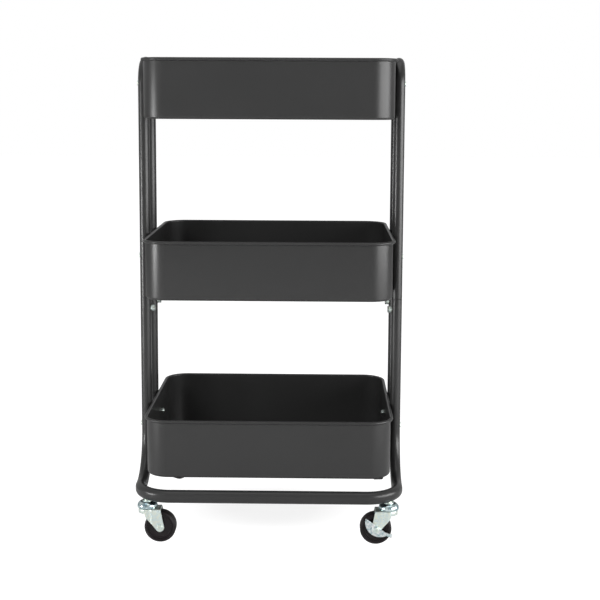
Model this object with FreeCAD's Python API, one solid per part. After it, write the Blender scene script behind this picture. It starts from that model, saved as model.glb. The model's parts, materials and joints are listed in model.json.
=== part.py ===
"""Three-tier rolling tray cart.

Three equal pressed steel trays hang between two pairs of flat-oval tube posts. Each side has an
arched upper frame. At the front and at the rear a lower frame runs down one post on the left,
round the base and up one post on the right. Four swivel casters stand under the base corners, and
two of them have a half-moon brake lever.

Millimetres. The origin is on the floor, in the middle of the outline that the cart and its casters
cover. +X is to the right, +Y to the rear and +Z up.
"""
import FreeCAD, Part
import math
import os

Vector = FreeCAD.Vector
ORIGIN = Vector(0, 0, 0)
AXIS_X = Vector(1, 0, 0)
AXIS_Y = Vector(0, 1, 0)
AXIS_Z = Vector(0, 0, 1)
QUARTER_TURN = 90.0
HALF_TURN = 180.0
FULL_TURN = 360.0

# Trays: outer size over the rolled rim, and the levels of the three rims
TRAY_WIDTH = 400.0
TRAY_DEPTH = 340.0
TRAY_HEIGHT = 94.0
TRAY_CORNER_RADIUS = 40.0
TRAY_SHEET = 1.0
TRAY_FLOOR_BEND = 4.0
RIM_BEAD_RADIUS = 2.6
RIM_OVERHANG = 4.0
UPPER_RIM_LEVEL = 770.0
MIDDLE_RIM_LEVEL = 487.0
LOWER_RIM_LEVEL = 201.5

# Frame tube: a flat oval, narrow from the front and wide from the side
TUBE_WIDTH = 17.3
TUBE_DEPTH = 20.8
TUBE_WALL = 1.2
POST_TO_RIM_GAP = 0.25
ARCH_RISE_OVER_RIM = 5.0
ARCH_BEND_RADIUS = 32.0
ARCH_LEVEL_RUN = 17.0
SEAM_LEVEL = 379.0

# Base: the lower frames' bends, the straight between them and the level of the bars
BASE_CLEARANCE = 68.0
FOOT_BEND_RADIUS = 74.0
BASE_SIDE_RUN = 3.5
BASE_CORNER_RADIUS = 52.0

# Inner sleeves that join upper and lower tubes, with their bolts
SLEEVE_PLAY = 0.15
SLEEVE_WALL = 2.0
SLEEVE_ABOVE_SEAM = 30.0
SLEEVE_BELOW_SEAM = 36.0
JOINT_BOLT_DROP = 18.5
JOINT_BOLT_RADIUS = 3.0
JOINT_BOLT_HEAD_FLATS = 10.0
JOINT_BOLT_HEAD_HEIGHT = 5.0
JOINT_BOLT_REACH = 9.0
JOINT_WASHER_RADIUS = 5.6
JOINT_WASHER_THICKNESS = 1.6

# Tray screws in their dimples, with spacers and nuts
SCREW_DROP = 38.0
SCREW_RADIUS = 2.5
SCREW_HEAD_RADIUS = 4.6
SCREW_HEAD_HEIGHT = 2.0
SCREW_SOCKET_FLATS = 3.0
SCREW_SOCKET_DEPTH = 1.2
SCREW_TIP = 1.4
DIMPLE_RADIUS = 7.2
DIMPLE_DEPTH = 1.5
SPACER_RADIUS = 4.5
TRAY_NUT_FLATS = 8.0
TRAY_NUT_HEIGHT = 4.0
HOLE_CLEARANCE = 0.15
THREAD_CLEARANCE = 0.05

# Casters
WHEEL_RADIUS = 25.3
WHEEL_WIDTH = 18.0
TYRE_THICKNESS = 5.2
TYRE_SHOULDER = 2.6
HUB_RECESS = 1.6
HUB_BOSS_RADIUS = 7.5
HUB_BOSS_WIDTH = 19.8
HUB_RING = 2.2
AXLE_RADIUS = 3.0
AXLE_HEAD_RADIUS = 4.6
AXLE_HEAD_HEIGHT = 1.4
AXLE_END_HOLE_RADIUS = 1.3
AXLE_END_HOLE_DEPTH = 2.4
AXLE_SLEEVE_WALL = 1.5
AXLE_SLEEVE_LENGTH = 20.4
RUNNING_CLEARANCE = 0.06
PRESS_CLEARANCE = 0.04
TRAIL = 20.8
FORK_SHEET = 2.0
FORK_INNER_WIDTH = 21.2
FORK_BACK_RADIUS = 14.5
FORK_TOP_GAP = 3.1
FORK_EDGE_RADIUS = 2.2
FORK_TOE = 1.2
LEG_END_RADIUS = 6.8
LEG_SHOULDER_REACH = 3.4
KNEE_REACH = 1.5
KNEE_DROP = 13.4
SKIRT_DROP = 7.4
STEM_RADIUS = 4.0
STEM_HEAD_RADIUS = 5.5
STEM_HEAD_HEIGHT = 2.6
STEM_HEAD_GAP = 0.2
STEM_REACH = 15.0
BALL_COUNT = 10
BALL_RADIUS = 1.75
BALL_CIRCLE_RADIUS = 10.5
BALL_LIFT = 1.0
BALL_CLEARANCE = 0.15
RACE_GAP = 1.8
RACE_RADIUS = 16.2
RACE_LIP_WALL = 1.3
RACE_LIP_GAP = 0.8
RACE_SHOULDER_RADIUS = 7.4
RACE_SEAT_GAP = 0.1
INSERT_RADIUS = 5.6
INSERT_FLANGE_RADIUS = 8.0
INSERT_FLANGE_HEIGHT = 1.5
INSERT_HEIGHT = 15.0

# Brake lever: a half-moon plate that turns on the axle, outside one fork leg
LEVER_THICKNESS = 1.8
LEVER_GAP = 0.3
LEVER_ARC_RADIUS = 24.0
LEVER_ARC_CENTRE_BACK = 6.8
LEVER_ARC_CENTRE_UP = 12.6
LEVER_EDGE_RISE = 7.2
LEVER_EDGE_ANGLE = 36.0
LEVER_TAB_WIDTH = 5.0
LEVER_TAB_LENGTH = 6.0
LEVER_TAB_INSET = 2.0
SHOE_CLEARANCE = 0.65
SHOE_ARM_ROOT = 17.0
SHOE_ANGLE = 202.0
BRAKE_RIVET_RADIUS = 1.6
BRAKE_RIVET_HEAD_RADIUS = 2.8
BRAKE_RIVET_HEAD_HEIGHT = 0.9
BRAKE_RIVET_AHEAD = 7.7
BRAKE_RIVET_UP = 1.6

# How far a cutting solid runs past the face that it cuts
OVERRUN = 2.0

# The way each wheel trails from its stem, in degrees from +X, and which casters have a brake
CASTERS = {
    "front_left": {"side": (-1, -1), "trail_angle": 0.0, "brake_side": 0},
    "front_right": {"side": (1, -1), "trail_angle": 180.0, "brake_side": 1},
    "rear_left": {"side": (-1, 1), "trail_angle": 50.0, "brake_side": 1},
    "rear_right": {"side": (1, 1), "trail_angle": 95.0, "brake_side": 0},
}

# Places that follow from the sizes above
POST_X = TRAY_WIDTH / 2 + POST_TO_RIM_GAP + TUBE_WIDTH / 2
POST_Y = ARCH_BEND_RADIUS + ARCH_LEVEL_RUN / 2
WALL_X = TRAY_WIDTH / 2 - RIM_OVERHANG
ARCH_CENTRELINE = UPPER_RIM_LEVEL + ARCH_RISE_OVER_RIM - TUBE_DEPTH / 2
BASE_BAR_Y = POST_Y + FOOT_BEND_RADIUS + BASE_SIDE_RUN + BASE_CORNER_RADIUS
BASE_DEPTH = 2 * BASE_BAR_Y + TUBE_WIDTH
BASE_LEVEL = BASE_CLEARANCE + TUBE_DEPTH / 2
STEM_X = POST_X - BASE_CORNER_RADIUS * (1 - math.sin(math.radians(QUARTER_TURN / 2)))
STEM_Y = BASE_BAR_Y - BASE_CORNER_RADIUS * (1 - math.sin(math.radians(QUARTER_TURN / 2)))
RIMS = {"upper": UPPER_RIM_LEVEL, "middle": MIDDLE_RIM_LEVEL, "lower": LOWER_RIM_LEVEL}
CROWN_UNDERSIDE = 2 * WHEEL_RADIUS + FORK_TOP_GAP
CROWN_TOP = CROWN_UNDERSIDE + FORK_SHEET
INSERT_BOTTOM = BASE_CLEARANCE - INSERT_FLANGE_HEIGHT
FORK_HALF_WIDTH = FORK_INNER_WIDTH / 2 + FORK_SHEET

# The rear wheels trail out behind the base, so everything stands this far from the origin in Y
REAR_SWING = math.sin(math.radians(CASTERS["rear_right"]["trail_angle"]))
FRAME_Y = (BASE_DEPTH / 2 - STEM_Y - (TRAIL + WHEEL_RADIUS) * REAR_SWING) / 2


def export(node, shape):
    """Writes one node, and stops if any of its solids is broken."""
    assert shape.isValid() and shape.Volume > 0, node
    shape.translated(Vector(0, FRAME_Y, 0)).exportStep("parts/" + node + ".step")
    print(node, "solids", len(shape.Solids), "volume", round(shape.Volume, 2))


def fused(shapes):
    """One solid from touching or overlapping shapes, with seams between equal faces removed."""
    shape = shapes[0].fuse(shapes[1:]) if len(shapes) > 1 else shapes[0]
    return shape.removeSplitter()


def cylinder(radius, start, direction, length):
    return Part.makeCylinder(radius, length, start, direction)


def hexagon(flats, start, direction, length):
    """A hexagonal prism that stands on start."""
    radius = flats / 2 / math.cos(math.radians(FULL_TURN / 12))
    across = AXIS_Y if abs(direction.y) < abs(direction.z) + abs(direction.x) else AXIS_Z
    side = across.cross(direction)
    points = []
    for corner in range(7):
        turn = math.radians(FULL_TURN / 6 * corner)
        points.append(start + across * (radius * math.cos(turn)) + side * (radius * math.sin(turn)))
    return Part.Face(Part.makePolygon(points)).extrude(direction * length)


def revolved(points):
    """A solid turned about Z from (radius, height) corners."""
    outline = [Vector(radius, 0, height) for radius, height in points]
    outline.append(outline[0])
    return Part.Face(Part.makePolygon(outline)).revolve(ORIGIN, AXIS_Z, FULL_TURN)


def rounded_rectangle(half_x, half_y, radius, level):
    """A closed wire with four round corners, flat at the given level."""
    straight_x = half_x - radius
    straight_y = half_y - radius
    edges = []
    corners = ((1, 1, 0), (-1, 1, 1), (-1, -1, 2), (1, -1, 3))
    for sign_x, sign_y, quarter in corners:
        centre = Vector(sign_x * straight_x, sign_y * straight_y, level)
        start = quarter * QUARTER_TURN
        edges.append(Part.makeCircle(radius, centre, AXIS_Z, start, start + QUARTER_TURN))
    for index in range(4):
        end = edges[index].Vertexes[-1].Point
        following = edges[(index + 1) % 4].Vertexes[0].Point
        edges.append(Part.makeLine(end, following))
    return Part.Wire(Part.__sortEdges__(edges))


def pan(half_x, half_y, radius, bottom, top, bend):
    """A rounded block whose lower edge is bent with the given radius."""
    block = Part.Face(rounded_rectangle(half_x, half_y, radius, bottom)).extrude(AXIS_Z * (top - bottom))
    low_edges = [edge for edge in block.Edges if edge.BoundBox.ZMax < bottom + bend / 2]
    return block.makeFillet(bend, low_edges)


def rim_bead(level):
    """The rolled rim: a round bead along the tray's edge."""
    half_x = TRAY_WIDTH / 2 - RIM_BEAD_RADIUS
    half_y = TRAY_DEPTH / 2 - RIM_BEAD_RADIUS
    path = rounded_rectangle(half_x, half_y, TRAY_CORNER_RADIUS - RIM_BEAD_RADIUS, level)
    start = path.OrderedEdges[0].valueAt(path.OrderedEdges[0].FirstParameter)
    along = path.OrderedEdges[0].tangentAt(path.OrderedEdges[0].FirstParameter)
    ring = Part.Wire(Part.makeCircle(RIM_BEAD_RADIUS, start, along))
    return Part.Solid(path.makePipeShell([ring], True, False))


def screw_places(level):
    """The four screw axes of a tray: (side, y, height)."""
    return [(side, POST_Y * end, level) for side in (-1, 1) for end in (-1, 1)]


def tray(rim):
    """A pressed tray with a flat floor, round corners and a rolled rim."""
    bottom = rim - TRAY_HEIGHT
    bead_level = rim - RIM_BEAD_RADIUS
    half_x = WALL_X
    half_y = TRAY_DEPTH / 2 - RIM_OVERHANG
    radius = TRAY_CORNER_RADIUS - RIM_OVERHANG
    outside = pan(half_x, half_y, radius, bottom, bead_level, TRAY_FLOOR_BEND)
    inside = pan(half_x - TRAY_SHEET, half_y - TRAY_SHEET, radius - TRAY_SHEET,
                 bottom + TRAY_SHEET, bead_level + OVERRUN, TRAY_FLOOR_BEND - TRAY_SHEET)
    shape = fused([outside.cut(inside), rim_bead(bead_level)])
    holes = []
    for side, y, level in screw_places(rim - SCREW_DROP):
        start = Vector(side * (WALL_X + OVERRUN), y, level)
        holes.append(cylinder(SCREW_RADIUS + HOLE_CLEARANCE, start, AXIS_X * -side,
                              TRAY_SHEET + 2 * OVERRUN))
    return shape.cut(holes)


def oval_wire(width, depth, centre):
    """A flat oval in the XY plane, width along X and depth along Y."""
    radius = width / 2
    straight = depth / 2 - radius
    front = Part.makeCircle(radius, centre - AXIS_Y * straight, AXIS_Z, HALF_TURN, FULL_TURN)
    rear = Part.makeCircle(radius, centre + AXIS_Y * straight, AXIS_Z, 0, HALF_TURN)
    right = Part.makeLine(front.Vertexes[-1].Point, rear.Vertexes[0].Point)
    left = Part.makeLine(rear.Vertexes[-1].Point, front.Vertexes[0].Point)
    return Part.Wire([front, right, rear, left])


def oval_face(width, depth, centre):
    return Part.Face(oval_wire(width, depth, centre))


def bent_tube(section, heading, steps):
    """Carries a section along straight runs and bends.

    A run is ("run", length). A bend is ("bend", radius, turn axis): a quarter turn about that
    axis, with the bend's centre to the side that the tube turns to.
    """
    pieces = []
    face = section
    place = section.CenterOfMass
    for step in steps:
        if step[0] == "run":
            move = heading * step[1]
            pieces.append(face.extrude(move))
            face = face.translated(move)
            place = place + move
            continue
        centre = place + step[2].cross(heading) * step[1]
        pieces.append(face.revolve(centre, step[2], QUARTER_TURN))
        face = face.rotated(centre, step[2], QUARTER_TURN)
        turn = FreeCAD.Rotation(step[2], QUARTER_TURN)
        place = centre + turn.multVec(place - centre)
        heading = turn.multVec(heading)
    return fused(pieces)


def upper_route():
    """From the front seam up, over the arch to the rear, and down to the rear seam."""
    rise = ARCH_CENTRELINE - ARCH_BEND_RADIUS - SEAM_LEVEL
    over = AXIS_X * -1
    return [("run", rise), ("bend", ARCH_BEND_RADIUS, over), ("run", ARCH_LEVEL_RUN),
            ("bend", ARCH_BEND_RADIUS, over), ("run", rise)]


def lower_route(end):
    """From the left seam down, out to the base bar, across, and up to the right seam."""
    drop = SEAM_LEVEL - BASE_LEVEL - FOOT_BEND_RADIUS
    bar_run = 2 * (POST_X - BASE_CORNER_RADIUS)
    return [("run", drop), ("bend", FOOT_BEND_RADIUS, AXIS_X * end), ("run", BASE_SIDE_RUN),
            ("bend", BASE_CORNER_RADIUS, AXIS_Z * -end), ("run", bar_run),
            ("bend", BASE_CORNER_RADIUS, AXIS_Z * -end), ("run", BASE_SIDE_RUN),
            ("bend", FOOT_BEND_RADIUS, AXIS_X * -end), ("run", drop)]


def dish_radius():
    """The sphere that leaves a dimple of the stated radius and depth in a flat face."""
    return (DIMPLE_RADIUS ** 2 + DIMPLE_DEPTH ** 2) / (2 * DIMPLE_DEPTH)


def dimples(places, growth):
    """The spheres of the pressed dimples on the posts' outer faces, grown by a wall if asked."""
    reach = POST_X + TUBE_WIDTH / 2 - DIMPLE_DEPTH + dish_radius()
    return [Part.makeSphere(dish_radius() + growth, Vector(side * reach, y, level))
            for side, y, level in places]


def screw_holes(places):
    reach = POST_X + TUBE_WIDTH / 2 + OVERRUN
    return [cylinder(SCREW_RADIUS + HOLE_CLEARANCE, Vector(side * reach, y, level), AXIS_X * -side,
                     TUBE_WIDTH + 2 * OVERRUN) for side, y, level in places]


def dimpled_tube(start, heading, route, places):
    """A hollow tube along a route, dimpled and drilled at the given screw places."""
    outside = bent_tube(oval_face(TUBE_WIDTH, TUBE_DEPTH, start), heading, route)
    bore = oval_face(TUBE_WIDTH - 2 * TUBE_WALL, TUBE_DEPTH - 2 * TUBE_WALL, start)
    cavity = bent_tube(bore, heading, route)
    shape = outside.cut(dimples(places, 0)).cut(cavity.cut(dimples(places, TUBE_WALL)))
    return shape.cut(screw_holes(places))


def upper_frame(side):
    """One side's arched tube, which carries the upper and the middle tray."""
    places = [(side, y, rim - SCREW_DROP)
              for rim in (UPPER_RIM_LEVEL, MIDDLE_RIM_LEVEL) for y in (-POST_Y, POST_Y)]
    return dimpled_tube(Vector(side * POST_X, -POST_Y, SEAM_LEVEL), AXIS_Z, upper_route(), places)


def lower_frame(end):
    """The front (-1) or rear (+1) tube: two posts and the base bar, which carry the lower tray."""
    places = [(side, end * POST_Y, LOWER_RIM_LEVEL - SCREW_DROP) for side in (-1, 1)]
    start = Vector(-POST_X, end * POST_Y, SEAM_LEVEL)
    tube = dimpled_tube(start, AXIS_Z * -1, lower_route(end), places)
    holes = []
    for side in (-1, 1):
        bolt_start = Vector(side * POST_X, end * POST_Y, SEAM_LEVEL - JOINT_BOLT_DROP)
        holes.append(cylinder(JOINT_BOLT_RADIUS + HOLE_CLEARANCE, bolt_start, AXIS_X * -side,
                              TUBE_WIDTH / 2 + OVERRUN))
        insert_start = Vector(side * STEM_X, end * STEM_Y, INSERT_BOTTOM)
        holes.append(cylinder(INSERT_RADIUS + PRESS_CLEARANCE, insert_start, AXIS_Z,
                              INSERT_FLANGE_HEIGHT + TUBE_DEPTH / 2))
    return tube.cut(holes)


def joint_sleeve(side, end):
    """The inner tube that joins an upper post to a lower one, drilled for its bolt."""
    width = TUBE_WIDTH - 2 * (TUBE_WALL + SLEEVE_PLAY)
    depth = TUBE_DEPTH - 2 * (TUBE_WALL + SLEEVE_PLAY)
    centre = Vector(side * POST_X, end * POST_Y, SEAM_LEVEL - SLEEVE_BELOW_SEAM)
    length = AXIS_Z * (SLEEVE_BELOW_SEAM + SLEEVE_ABOVE_SEAM)
    bore = oval_face(width - 2 * SLEEVE_WALL, depth - 2 * SLEEVE_WALL, centre).extrude(length)
    sleeve = oval_face(width, depth, centre).extrude(length).cut(bore)
    start = Vector(side * POST_X, end * POST_Y, SEAM_LEVEL - JOINT_BOLT_DROP)
    return sleeve.cut(cylinder(JOINT_BOLT_RADIUS + THREAD_CLEARANCE, start, AXIS_X * -side, TUBE_WIDTH))


def joint_washer(side, end):
    inner_face = POST_X - TUBE_WIDTH / 2
    start = Vector(side * inner_face, end * POST_Y, SEAM_LEVEL - JOINT_BOLT_DROP)
    inward = AXIS_X * -side
    ring = cylinder(JOINT_WASHER_RADIUS, start, inward, JOINT_WASHER_THICKNESS)
    return ring.cut(cylinder(JOINT_BOLT_RADIUS + HOLE_CLEARANCE, start, inward, JOINT_WASHER_THICKNESS))


def joint_bolt(side, end):
    """A hexagon bolt whose head bears on the washer at the post's inner face."""
    seat = POST_X - TUBE_WIDTH / 2 - JOINT_WASHER_THICKNESS
    start = Vector(side * seat, end * POST_Y, SEAM_LEVEL - JOINT_BOLT_DROP)
    inward = AXIS_X * -side
    head = hexagon(JOINT_BOLT_HEAD_FLATS, start, inward, JOINT_BOLT_HEAD_HEIGHT)
    shank = cylinder(JOINT_BOLT_RADIUS, start, AXIS_X * side, JOINT_WASHER_THICKNESS + JOINT_BOLT_REACH)
    return fused([head, shank])


def tray_screw(side, y, level):
    """A socket-head screw from the post's dimple through the spacer and the tray wall."""
    dish_rise = dish_radius() - math.sqrt(dish_radius() ** 2 - SCREW_HEAD_RADIUS ** 2)
    seat = POST_X + TUBE_WIDTH / 2 - DIMPLE_DEPTH + dish_rise + THREAD_CLEARANCE
    outward = AXIS_X * side
    start = Vector(side * seat, y, level)
    head = cylinder(SCREW_HEAD_RADIUS, start, outward, SCREW_HEAD_HEIGHT)
    far_edge = [edge for edge in head.Edges
                if abs(edge.CenterOfMass.x * side - seat - SCREW_HEAD_HEIGHT) < SCREW_HEAD_HEIGHT / 4
                and edge.Closed]
    head = head.makeFillet(SCREW_HEAD_HEIGHT / 2, far_edge)
    tip = WALL_X - TRAY_SHEET - TRAY_NUT_HEIGHT - SCREW_TIP
    shank = cylinder(SCREW_RADIUS, start, outward * -1, seat - tip)
    socket_start = start + outward * (SCREW_HEAD_HEIGHT - SCREW_SOCKET_DEPTH)
    socket = hexagon(SCREW_SOCKET_FLATS, socket_start, outward, SCREW_SOCKET_DEPTH)
    return fused([head, shank]).cut(socket)


def tray_spacer(side, y, level):
    """The bush between a post and the tray's wall."""
    start = Vector(side * WALL_X, y, level)
    length = RIM_OVERHANG + POST_TO_RIM_GAP
    ring = cylinder(SPACER_RADIUS, start, AXIS_X * side, length)
    return ring.cut(cylinder(SCREW_RADIUS + HOLE_CLEARANCE, start, AXIS_X * side, length))


def tray_nut(side, y, level):
    start = Vector(side * (WALL_X - TRAY_SHEET), y, level)
    inward = AXIS_X * -side
    nut = hexagon(TRAY_NUT_FLATS, start, inward, TRAY_NUT_HEIGHT)
    return nut.cut(cylinder(SCREW_RADIUS + THREAD_CLEARANCE, start, inward, TRAY_NUT_HEIGHT))


def caster_insert(side, end):
    """The bush in the base tube that takes a caster's stem."""
    body = revolved([
        (STEM_RADIUS + PRESS_CLEARANCE, INSERT_BOTTOM),
        (INSERT_FLANGE_RADIUS, INSERT_BOTTOM),
        (INSERT_FLANGE_RADIUS, BASE_CLEARANCE),
        (INSERT_RADIUS, BASE_CLEARANCE),
        (INSERT_RADIUS, BASE_CLEARANCE + INSERT_HEIGHT),
        (STEM_RADIUS + PRESS_CLEARANCE, BASE_CLEARANCE + INSERT_HEIGHT),
    ])
    return body.translated(Vector(side * STEM_X, end * STEM_Y, 0))


def stem():
    """The caster's stem, riveted over under the fork's crown."""
    head_top = CROWN_UNDERSIDE - STEM_HEAD_GAP
    head_bottom = head_top - STEM_HEAD_HEIGHT
    chamfer = STEM_HEAD_HEIGHT / 2
    top = INSERT_BOTTOM + STEM_REACH
    return revolved([
        (0, head_bottom),
        (STEM_HEAD_RADIUS - chamfer, head_bottom),
        (STEM_HEAD_RADIUS, head_bottom + chamfer),
        (STEM_HEAD_RADIUS, head_top),
        (STEM_RADIUS, head_top),
        (STEM_RADIUS, top),
        (0, top),
    ])


def ball_ring(radius):
    """The torus that the balls run in, grown to the given section radius."""
    return Part.makeTorus(BALL_CIRCLE_RADIUS, radius, Vector(0, 0, CROWN_TOP + BALL_LIFT))


def race_cup():
    """The domed upper race, fixed on the stem over the balls, with a lip round them."""
    top = INSERT_BOTTOM - RACE_SEAT_GAP
    lip_bottom = CROWN_TOP + RACE_LIP_GAP
    dome = cylinder(RACE_RADIUS, AXIS_Z * lip_bottom, AXIS_Z, top - lip_bottom)
    shoulder = [edge for edge in dome.Edges if edge.BoundBox.ZMin > lip_bottom + RACE_GAP]
    dome = dome.makeFillet(RACE_SHOULDER_RADIUS, shoulder)
    hollow = cylinder(RACE_RADIUS - RACE_LIP_WALL, AXIS_Z * CROWN_TOP, AXIS_Z, RACE_GAP)
    bore = cylinder(STEM_RADIUS + PRESS_CLEARANCE, AXIS_Z * CROWN_TOP, AXIS_Z, top - CROWN_TOP)
    return dome.cut([hollow, bore, ball_ring(BALL_RADIUS + BALL_CLEARANCE)])


def balls():
    ring = []
    for index in range(BALL_COUNT):
        turn = math.radians(FULL_TURN / BALL_COUNT * index)
        centre = Vector(BALL_CIRCLE_RADIUS * math.cos(turn), BALL_CIRCLE_RADIUS * math.sin(turn),
                        CROWN_TOP + BALL_LIFT)
        ring.append(Part.makeSphere(BALL_RADIUS, centre))
    return Part.makeCompound(ring)


def tangent_point(point, centre, radius, side):
    """Where a line from point touches a circle, in (x, z), on the left (1) or right (-1)."""
    away_x = point[0] - centre[0]
    away_z = point[1] - centre[1]
    distance = math.hypot(away_x, away_z)
    angle = math.atan2(away_z, away_x) + side * math.acos(radius / distance)
    return (centre[0] + radius * math.cos(angle), centre[1] + radius * math.sin(angle))


def fork_side_view():
    """The leg's outline from the side, as a solid as wide as the fork."""
    axle = (TRAIL, WHEEL_RADIUS)
    toe = (TRAIL + FORK_TOE, CROWN_TOP)
    back_top = (-FORK_BACK_RADIUS - OVERRUN, CROWN_TOP)
    back_low = (-FORK_BACK_RADIUS - OVERRUN, CROWN_TOP - SKIRT_DROP)
    shoulder = (-LEG_SHOULDER_REACH, CROWN_TOP - SKIRT_DROP)
    knee = (-KNEE_REACH, CROWN_TOP - KNEE_DROP)
    outline = [back_top, toe, tangent_point(toe, axle, LEG_END_RADIUS, -1), axle,
               tangent_point(knee, axle, LEG_END_RADIUS, 1), knee, shoulder, back_low, back_top]
    reach = FORK_BACK_RADIUS + OVERRUN
    points = [Vector(x, -reach, z) for x, z in outline]
    plate = Part.Face(Part.makePolygon(points)).extrude(AXIS_Y * (2 * reach))
    end = cylinder(LEG_END_RADIUS, Vector(TRAIL, -reach, WHEEL_RADIUS), AXIS_Y, 2 * reach)
    return fused([plate, end])


def fork_block(back_radius, half_width, bottom, top):
    """The fork's plan, round at the stem and straight at the legs, as a block."""
    back = cylinder(back_radius, Vector(0, 0, bottom), AXIS_Z, top - bottom)
    length = TRAIL + LEG_END_RADIUS + OVERRUN
    legs = Part.makeBox(length, 2 * half_width, top - bottom, Vector(0, -half_width, bottom))
    return fused([back, legs])


def fork():
    """The pressed caster fork: a crown, a round back and two tapering legs."""
    outside = fork_block(FORK_BACK_RADIUS, FORK_HALF_WIDTH, 0, CROWN_TOP)
    crown_edges = [edge for edge in outside.Edges
                   if edge.BoundBox.ZMin > CROWN_TOP - FORK_SHEET
                   and edge.BoundBox.XMin < TRAIL + LEG_END_RADIUS]
    outside = outside.makeFillet(FORK_EDGE_RADIUS, crown_edges)
    inside = fork_block(FORK_BACK_RADIUS - FORK_SHEET, FORK_HALF_WIDTH - FORK_SHEET,
                        -OVERRUN, CROWN_UNDERSIDE)
    shape = outside.common(fork_side_view()).cut(inside)
    bore = cylinder(STEM_RADIUS + RUNNING_CLEARANCE, Vector(0, 0, CROWN_UNDERSIDE - OVERRUN),
                    AXIS_Z, FORK_SHEET + 2 * OVERRUN)
    axle_hole = cylinder(AXLE_RADIUS + PRESS_CLEARANCE, Vector(TRAIL, -FORK_HALF_WIDTH - OVERRUN,
                         WHEEL_RADIUS), AXIS_Y, 2 * (FORK_HALF_WIDTH + OVERRUN))
    return shape.cut([bore, axle_hole, ball_ring(BALL_RADIUS + BALL_CLEARANCE)])


def axle(brake_side):
    """The wheel's rivet axle, longer on the side where it also holds a brake lever."""
    lever_room = LEVER_THICKNESS + 2 * LEVER_GAP
    low = -FORK_HALF_WIDTH - (lever_room if brake_side < 0 else 0)
    high = FORK_HALF_WIDTH + (lever_room if brake_side > 0 else 0)
    start = Vector(TRAIL, low, WHEEL_RADIUS)
    shank = cylinder(AXLE_RADIUS, start, AXIS_Y, high - low)
    near = cylinder(AXLE_HEAD_RADIUS, start, AXIS_Y * -1, AXLE_HEAD_HEIGHT)
    far = cylinder(AXLE_HEAD_RADIUS, Vector(TRAIL, high, WHEEL_RADIUS), AXIS_Y, AXLE_HEAD_HEIGHT)
    near_hole = cylinder(AXLE_END_HOLE_RADIUS, Vector(TRAIL, low - AXLE_HEAD_HEIGHT, WHEEL_RADIUS),
                         AXIS_Y, AXLE_END_HOLE_DEPTH)
    far_hole = cylinder(AXLE_END_HOLE_RADIUS, Vector(TRAIL, high + AXLE_HEAD_HEIGHT, WHEEL_RADIUS),
                        AXIS_Y * -1, AXLE_END_HOLE_DEPTH)
    return fused([shank, near, far]).cut([near_hole, far_hole])


def on_axle(shape):
    """Lays a solid that was turned about Z onto the axle, where the wheel runs."""
    laid = shape.rotated(ORIGIN, AXIS_X, -QUARTER_TURN)
    return laid.translated(Vector(TRAIL, 0, WHEEL_RADIUS))


def tyre():
    """The wheel's outer ring, with round shoulders."""
    half = WHEEL_WIDTH / 2
    inner = WHEEL_RADIUS - TYRE_THICKNESS
    ring = revolved([(inner, -half), (WHEEL_RADIUS, -half), (WHEEL_RADIUS, half), (inner, half)])
    shoulders = [edge for edge in ring.Edges if edge.Closed
                 and edge.BoundBox.XMax > WHEEL_RADIUS - TYRE_THICKNESS / 2]
    return on_axle(ring.makeFillet(TYRE_SHOULDER, shoulders))


def hub():
    """The wheel's core: a ring inside the tyre, a thinner web and a boss round the sleeve."""
    half = WHEEL_WIDTH / 2 - HUB_RECESS / 2
    web = half - HUB_RECESS
    boss = HUB_BOSS_WIDTH / 2
    outer = WHEEL_RADIUS - TYRE_THICKNESS
    ring = outer - HUB_RING
    bore = AXLE_RADIUS + RUNNING_CLEARANCE + AXLE_SLEEVE_WALL + PRESS_CLEARANCE
    side = [(bore, boss), (HUB_BOSS_RADIUS, boss), (HUB_BOSS_RADIUS, web), (ring, web),
            (ring, half), (outer, half)]
    mirrored = [(radius, -height) for radius, height in reversed(side)]
    return on_axle(revolved(side + mirrored))


def axle_sleeve():
    inner = AXLE_RADIUS + RUNNING_CLEARANCE
    outer = inner + AXLE_SLEEVE_WALL
    half = AXLE_SLEEVE_LENGTH / 2
    return on_axle(revolved([(inner, -half), (outer, -half), (outer, half), (inner, half)]))


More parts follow.
